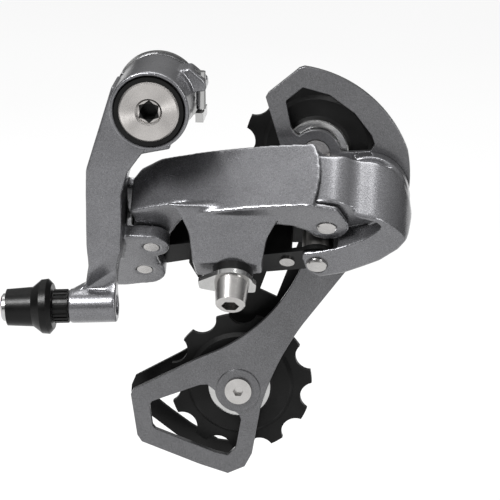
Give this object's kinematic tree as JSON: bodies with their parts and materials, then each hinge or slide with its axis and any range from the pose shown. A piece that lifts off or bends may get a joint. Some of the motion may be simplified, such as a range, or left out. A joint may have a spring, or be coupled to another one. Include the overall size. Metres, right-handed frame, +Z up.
{
  "type": "rear bicycle derailleur",
  "caption": "Rear derailleur with a slanted four-pin parallelogram, sprung mounting bolt, barrel adjuster and a swinging chain cage with toothed pulleys.",
  "frame": {"origin": "centre of the mounting bolt in the face that meets the frame's hanger", "axes": "+Y inboard along the mounting bolt, towards the wheel; +X towards the front of the bicycle; +Z up"},
  "size_m": [0.1311, 0.0534, 0.1435],
  "materials": {
    "grey_flake_paint": "metallic flake, satin",
    "grey_plate_paint": "metallic flake with bright bevelled edges",
    "turned_steel": "turned",
    "plated_steel": "zinc plated",
    "spring_steel": "drawn wire",
    "black_steel": "black satin coating",
    "black_plastic": "satin",
    "pulley_plastic": "moulded, satin",
    "bush_plastic": "moulded"
  },
  "bodies": {
    "mount": {"mounting_bolt": "turned_steel", "bolt_seal_ring": "black_plastic", "stop_plate": "plated_steel"},
    "b_knuckle": {"b_knuckle": "grey_flake_paint", "knuckle_bush": "bush_plastic", "knuckle_spring": "spring_steel", "outer_link_pin_rear": "turned_steel", "inner_link_pin_rear": "turned_steel"},
    "b_screw": {"b_tension_screw": "plated_steel"},
    "high_screw": {"high_limit_screw": "plated_steel"},
    "low_screw": {"low_limit_screw": "plated_steel"},
    "barrel_slide": {"barrel_collar": "black_plastic"},
    "barrel": {"barrel_bolt": "plated_steel", "barrel_knob": "black_plastic"},
    "outer_link": {"outer_link": "grey_flake_paint", "cable_clamp_plate": "black_steel", "cable_clamp_washer": "plated_steel", "cable_clamp_bolt": "turned_steel"},
    "inner_link": {"inner_link": "black_steel", "inner_link_rivet": "turned_steel"},
    "p_knuckle": {"p_knuckle": "grey_flake_paint", "outer_link_pin_front": "turned_steel", "inner_link_pin_front": "turned_steel", "return_spring": "spring_steel", "cage_spring": "spring_steel"},
    "cage": {"cage_axle": "plated_steel", "cage_stop_pin": "plated_steel", "outer_plate": "grey_plate_paint", "inner_plate": "black_steel", "guide_bolt": "turned_steel", "guide_bush": "plated_steel", "guide_dust_caps": "plated_steel", "tension_bolt": "turned_steel", "tension_bush": "plated_steel", "tension_dust_caps": "plated_steel"},
    "guide_wheel": {"guide_pulley": "pulley_plastic"},
    "tension_wheel": {"tension_pulley": "pulley_plastic"}
  },
  "joints": [
    {"name": "mount_swing", "type": "hinge", "parent": "mount", "child": "b_knuckle", "pos_m": [0, 0, 0], "axis": [0, -1, 0], "range_deg": [0, 25], "stiffness_Nm_per_rad": 0.5, "springref_deg": -85.94},
    {"name": "b_screw_travel", "type": "slide", "parent": "b_knuckle", "child": "b_screw", "axis": [0, 0, 1], "range_m": [0, 0.003]},
    {"name": "high_screw_travel", "type": "slide", "parent": "b_knuckle", "child": "high_screw", "axis": [-1, 0, 0], "range_m": [0, 0.002]},
    {"name": "low_screw_travel", "type": "slide", "parent": "b_knuckle", "child": "low_screw", "axis": [-1, 0, 0], "range_m": [0, 0.002]},
    {"name": "barrel_travel", "type": "slide", "parent": "b_knuckle", "child": "barrel_slide", "axis": [-0.9986, 0, -0.0523], "range_m": [0, 0.0041]},
    {"name": "barrel_turn", "type": "hinge", "parent": "barrel_slide", "child": "barrel", "pos_m": [-0.02229, -0.015, -0.06762], "axis": [-0.9986, 0, -0.0523], "range_deg": [0, 1800]},
    {"name": "link_swing", "type": "hinge", "parent": "b_knuckle", "child": "outer_link", "pos_m": [-0.0017, -0.0106, -0.0491], "axis": [0, 0.7431, 0.6691], "range_deg": [0, 50], "stiffness_Nm_per_rad": 0.3, "springref_deg": -57.3},
    {"name": "inner_link_swing", "type": "hinge", "parent": "b_knuckle", "child": "inner_link", "pos_m": [-0.0051, -0.00117, -0.05958], "axis": [0, 0.7431, 0.6691], "range_deg": [0, 50]},
    {"name": "front_pivot", "type": "hinge", "parent": "outer_link", "child": "p_knuckle", "pos_m": [0.055, -0.01997, -0.0387], "axis": [0, 0.7431, 0.6691], "range_deg": [-50, 0]},
    {"name": "cage_swing", "type": "hinge", "parent": "p_knuckle", "child": "cage", "pos_m": [0.0673, 0, -0.0314], "axis": [0, -1, 0], "range_deg": [0, 100], "stiffness_Nm_per_rad": 0.2, "springref_deg": -114.59},
    {"name": "guide_spin", "type": "hinge", "parent": "cage", "child": "guide_wheel", "pos_m": [0.0502, 0.00935, -0.0198], "axis": [0, 1, 0], "continuous": true},
    {"name": "tension_spin", "type": "hinge", "parent": "cage", "child": "tension_wheel", "pos_m": [0.0252, 0.00935, -0.1007], "axis": [0, 1, 0], "continuous": true}
  ],
  "couplings": [
    {"joint": "inner_link_swing", "follows": "link_swing", "ratio": 1},
    {"joint": "front_pivot", "follows": "link_swing", "ratio": -1},
    {"joint": "barrel_travel", "follows": "barrel_turn", "m_per_rad": 0.000127}
  ]
}
